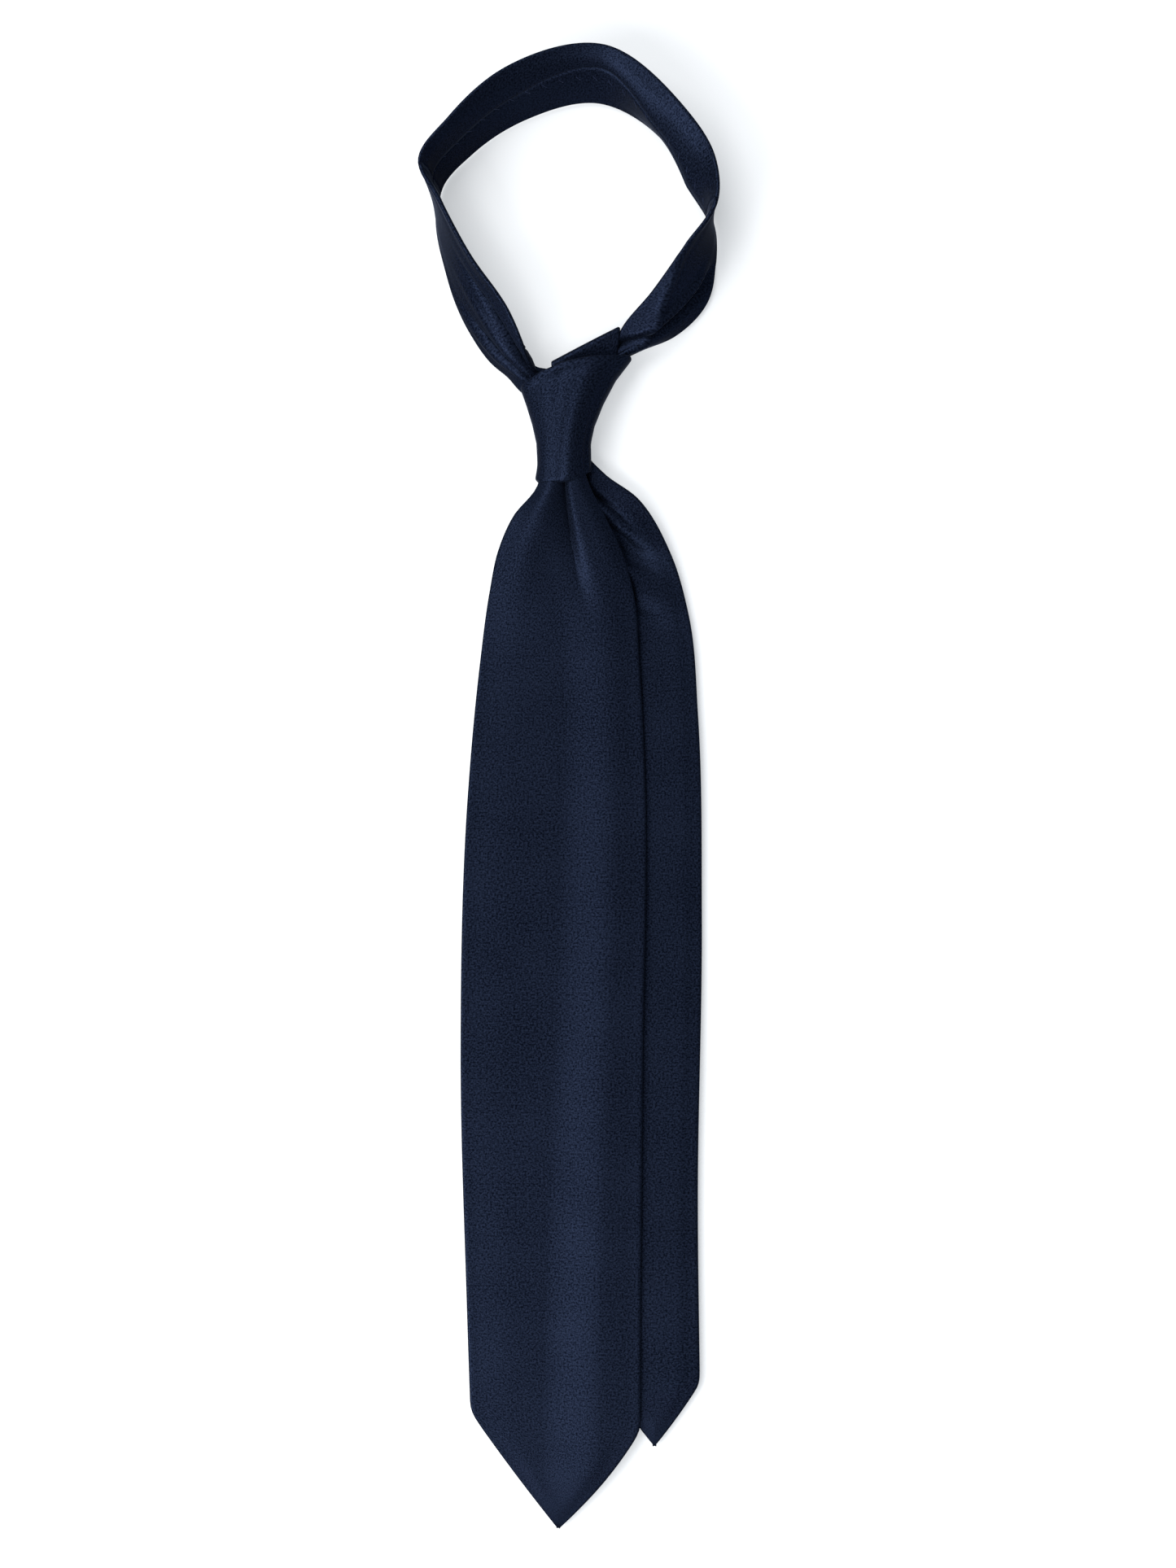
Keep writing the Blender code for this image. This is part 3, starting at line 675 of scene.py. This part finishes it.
def make_neck_loop():
    lower = [r[0] for r in LOOP_RAILS]
    upper = [r[1] for r in LOOP_RAILS]
    middle = [tuple((np.array(a) + np.array(b)) / 2) for a, b in zip(lower, upper)]
    positions = even_positions(middle, 2.0)
    low = rail(lower, positions)
    high = rail(upper, positions)
    bow = rail([r[2] for r in LOOP_RAILS], positions)
    ridge = rail([r[3] for r in LOOP_RAILS], positions)
    sharp = rail([r[4] for r in LOOP_RAILS], positions)
    half = np.linalg.norm(high - low, axis=1) / 2
    centre = (low + high) / 2
    along = np.gradient(centre, axis=0)
    face = np.cross(high - low, along)
    face /= np.linalg.norm(face, axis=1, keepdims=True)

    def place(u):
        u = -u                      # the seam faces the neck
        reach = np.where(u > ridge, (1.0 - ridge), (1.0 + ridge))
        t = np.clip(np.abs(u - ridge) / reach, 0.0, 1.2)
        out = bow * (1.0 - t ** sharp)
        rolled_rim = 0.9 * smooth((u - 0.62) / 0.38)
        out = out + band_creases(positions[:, None], u) + rolled_rim
        flat = (low + high)[:, None] / 2 + (high - low)[:, None] / 2 * u[..., None]
        return flat + face[:, None] * out[..., None]

    def thickness(u):
        return 1.9 + 0.9 * smooth((1.0 - np.abs(u)) / 0.5)

    whole = Strip(half, place, thickness)
    grid = folded_grid(whole, np.full(len(half), 0.03), 41, 14, 7, -ridge)
    pieces = []
    seams = [int(np.argmin(np.abs(positions - at))) for at in (GUSSET_FROM, GUSSET_TO)]
    cuts = [0, *seams, len(positions) - 1]
    for name, start, end in zip(("left", "back", "right"), cuts, cuts[1:]):
        piece = satin_piece("neck_satin_" + name, grid[start:end + 1])
        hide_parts("neck_band_" + name)
        pieces.append(piece)
    core_u = column_table(len(half), np.linspace(-0.82, 0.82, 11))
    p, _, _ = whole.frame_at(core_u)
    core = thicken(mesh_from_grid("neck_core", p[4:-4]), 0.8, 0.0)
    finish_piece(core, wool)
    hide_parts("neck_interlining")
    seam_path = slip_stitches(whole, (12, len(half) - 14), 1.36, pitch=4)
    seam = threads("neck_seam_stitches", seam_path, THREAD_RADIUS, thread)
    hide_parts("slip_stitch_neck")
    for piece in (*pieces, core, seam):
        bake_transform(piece)


def band_creases(position, u):
    """How far the band's face stands out or in, by rail and place across.

    On the left leg two creases run into the knot with a puff between them and one beside them. On the right
    leg a rib runs down to the knot's corner, and a soft crest crosses it with a hollow below.
    """
    left = smooth((5.4 - position) / 1.9)
    first = u - 0.58 + 0.127 * (position - 2.8)
    second = u - 0.04 + 0.30 * (position - 2.4)
    creases = -3.6 * left * np.exp(-(first / 0.11) ** 2)
    creases += -3.2 * smooth((4.6 - position) / 1.4) * np.exp(-(second / 0.10) ** 2)
    creases += 1.5 * left * np.exp(-((first + second) / 2 / 0.13) ** 2)
    creases += 1.0 * left * np.exp(-((second + 0.24) / 0.14) ** 2)
    right = smooth((position - 13.9) / 0.7)
    crest = u + 0.25 - 0.445 * (position - 14.5)
    creases += 2.0 * right * smooth((16.3 - position) / 0.8) * np.exp(-(crest / 0.13) ** 2)
    creases += -3.0 * right * np.exp(-((crest + 0.30) / 0.20) ** 2)
    rib = u - np.interp(position, RIB_AT, RIB_U)
    creases += 1.1 * right * np.exp(-(rib / 0.085) ** 2)
    return creases


# The knot.

def edge_height(edge, x):
    """The y of an outline at x."""
    table = np.array(edge)
    return np.interp(x, table[:, 0], table[:, 1])


def make_front_wrap():
    """The last turn across the front, a folded strip bent round from behind on both sides."""
    angles = np.linspace(math.radians(-118), math.radians(118), 73)
    lefts = [pair[0] for pair in WRAP_SIDES]
    rights = [pair[1] for pair in WRAP_SIDES]
    base = 7.6
    inset = 1.3

    def place(v):
        share = (v + 1.0) / 2.0
        position = np.clip(share, 0.0, 1.0).ravel() * (len(WRAP_SIDES) - 1)
        left = rail(lefts, position).reshape(v.shape) + inset
        right = rail(rights, position).reshape(v.shape) - inset
        crown = rail(WRAP_CROWNS, position).reshape(v.shape)
        a = angles[:, None] * np.ones_like(v)
        across = np.sign(np.sin(a)) * np.abs(np.sin(a)) ** 0.9
        rise = np.sign(np.cos(a)) * np.abs(np.cos(a)) ** 0.72
        rise = np.where(rise > 0, rise, 0.75 * rise)
        x = (left + right) / 2 + (right - left) / 2 * across
        x_low = (lefts[0] + rights[0]) / 2 + (rights[0] - lefts[0]) / 2 * across
        x_high = (lefts[-1] + rights[-1]) / 2 + (rights[-1] - lefts[-1]) / 2 * across
        low = edge_height(WRAP_BOTTOM, x_low) + inset
        high = edge_height(WRAP_TOP, x_high) - inset
        y = low + (high - low) * share
        z = base + (crown - inset - base) * rise + knot_folds(across, share) * np.maximum(rise, 0.0)
        return np.stack([x, y, z], axis=2)

    strip = Strip(np.full(len(angles), 22.0), place, lambda v: np.full(v.shape, 2.6))
    grid = folded_grid(strip, np.full(len(angles), WRAP_GAP), 41, 10, 7)
    wrap = satin_piece("knot_satin_front", grid)
    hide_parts("knot_front_wrap")
    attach(wrap, "knot")


def knot_folds(across, share):
    """A soft ridge right of the middle, a crease and a rim at the right side, drag lines, a rolled top edge."""
    ridge = 1.3 * np.exp(-((across - 0.26 - 0.12 * share) / 0.36) ** 2)
    crease = -1.6 * np.exp(-((across - 0.80) / 0.11) ** 2)
    rim = 0.8 * np.exp(-((across - 0.90) / 0.09) ** 2)
    lines = 0.10 * np.sin((across - 0.35 * share) * 13.0)
    rolled_edge = 0.8 * np.exp(-((share - 0.955) / 0.028) ** 2)
    fade = smooth(share / 0.08) * smooth((1.0 - share) / 0.12)
    return (ridge + crease + rim + lines) * fade + rolled_edge


def make_over_pass():
    """The strip that comes up behind, folds over the knot's top and goes down inside the front wrap."""
    steps = np.linspace(0.0, 1.0, 49)
    fold_at = 0.6
    fold_radius = 1.3

    def place(u):
        u = -u                      # the smooth side faces forwards
        share = (u + 1.0) / 2.0
        s = steps[:, None] * np.ones_like(u)
        up = np.clip(s / fold_at, 0.0, 1.0)
        turn = np.clip((s - fold_at) / 0.15, 0.0, 1.0) * math.pi
        behind = np.clip((s - fold_at - 0.15) / (0.85 - fold_at), 0.0, 1.0)
        top_x = OVER_TOP[0][0] + (OVER_TOP[1][0] - OVER_TOP[0][0]) * share
        top_y = OVER_TOP[0][1] + (OVER_TOP[1][1] - OVER_TOP[0][1]) * share - fold_radius
        low_x = OVER_FOOT[0][0] + (OVER_FOOT[1][0] - OVER_FOOT[0][0]) * share
        low_y = OVER_FOOT[0][1]
        x = low_x + (top_x - low_x) * up
        y = low_y + (top_y - low_y) * up + fold_radius * np.sin(turn) - 14.0 * behind
        z = 11.0 + 2.4 * up + 0.9 * np.sin(math.pi * share) * up
        z = z - fold_radius * (1.0 - np.cos(turn)) - 1.5 * behind
        return np.stack([x, y, z], axis=2)

    strip = Strip(np.full(len(steps), 15.0), place, lambda u: np.full(u.shape, 1.8))
    grid = folded_grid(strip, np.full(len(steps), WRAP_GAP), 21, 8, 7)
    piece = satin_piece("knot_satin_over", grid)
    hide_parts("knot_over_pass")
    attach(piece, "knot")


def make_back_wrap():
    """The first turn behind the knot, flat where it lies on the table, its top edge just in sight."""
    steps = np.linspace(-1.0, 1.0, 45)
    lefts = [pair[0] for pair in WRAP_SIDES]
    rights = [pair[1] for pair in WRAP_SIDES]

    def place(v):
        s = steps[:, None] * np.ones_like(v)
        share = (v + 1.0) / 2.0
        position = np.clip(share, 0.0, 1.0).ravel() * (len(WRAP_SIDES) - 1)
        left = rail(lefts, position).reshape(v.shape) + 2.6
        right = rail(rights, position).reshape(v.shape) - 3.4
        x = (left + right) / 2 + (right - left) / 2 * s
        top_x = (left + right)[:, -1:] / 2 + (right - left)[:, -1:] / 2 * s
        low = -20.0
        high = edge_height(BACK_TOP, top_x) - 0.9
        y = low + (high - low) * share
        curl = np.abs(s) ** 4
        z = 1.5 + 5.5 * curl + 7.0 * smooth((y - 8.0) / 15.0) * (1.0 - 0.6 * curl)
        return np.stack([x, y, z], axis=2)

    strip = Strip(np.full(len(steps), 20.0), place, lambda v: 2.4 - 0.6 * smooth(v))
    grid = folded_grid(strip, np.full(len(steps), WRAP_GAP), 33, 9, 7)
    piece = satin_piece("knot_satin_back", grid)
    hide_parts("knot_back_wrap", "knot_inner_turn")
    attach(piece, "knot")


# The table, the light and the camera.

def make_floor():
    bpy.ops.mesh.primitive_plane_add(size=24.0, location=(0.0, -0.16, -0.0002))
    floor = bpy.context.active_object
    floor.name = "table_top"
    floor.data.materials.append(floor_material())


def area_light(name, place, aim, size, watts):
    """A soft box that faces a point. Places and sizes are in metres."""
    data = bpy.data.lights.new(name, "AREA")
    data.shape = "RECTANGLE"
    data.size = size[0]
    data.size_y = size[1]
    data.energy = watts
    light = bpy.data.objects.new(name, data)
    light.location = place
    direction = np.array(aim) - np.array(place)
    light.rotation_euler = Vector(direction).to_track_quat("-Z", "Y").to_euler()
    bpy.context.scene.collection.objects.link(light)


def make_light():
    world = bpy.data.worlds.new("soft_room")
    bpy.context.scene.world = world
    world.use_nodes = True
    background = world.node_tree.nodes["Background"]
    background.inputs["Color"].default_value = (0.84, 0.92, 1.0, 1.0)
    background.inputs["Strength"].default_value = 0.46
    area_light("window", (-1.30, 1.20, 2.20), (0.0, -0.15, 0.0), (2.0, 2.0), 100.0)
    area_light("left_fill", (-1.70, -1.10, 1.50), (0.0, -0.10, 0.0), (1.2, 1.2), 66.0)
    area_light("overhead", (-0.35, -0.95, 1.30), (0.0, -0.40, 0.0), (0.8, 0.6), 12.0)


def make_camera():
    data = bpy.data.cameras.new("camera")
    data.sensor_fit = "VERTICAL"
    data.angle = 2 * math.atan(VIEW_HEIGHT / 2 / CAMERA_HEIGHT)
    data.clip_start = 0.01
    camera = bpy.data.objects.new("camera", data)
    camera.location = (VIEW_CENTRE[0] * MM, VIEW_CENTRE[1] * MM, CAMERA_HEIGHT * MM)
    bpy.context.scene.collection.objects.link(camera)
    bpy.context.scene.camera = camera


make_tail()
make_blade()
make_neck_loop()
make_back_wrap()
make_over_pass()
make_front_wrap()
make_floor()
make_light()
make_camera()

bpy.context.scene.view_settings.view_transform = "Standard"
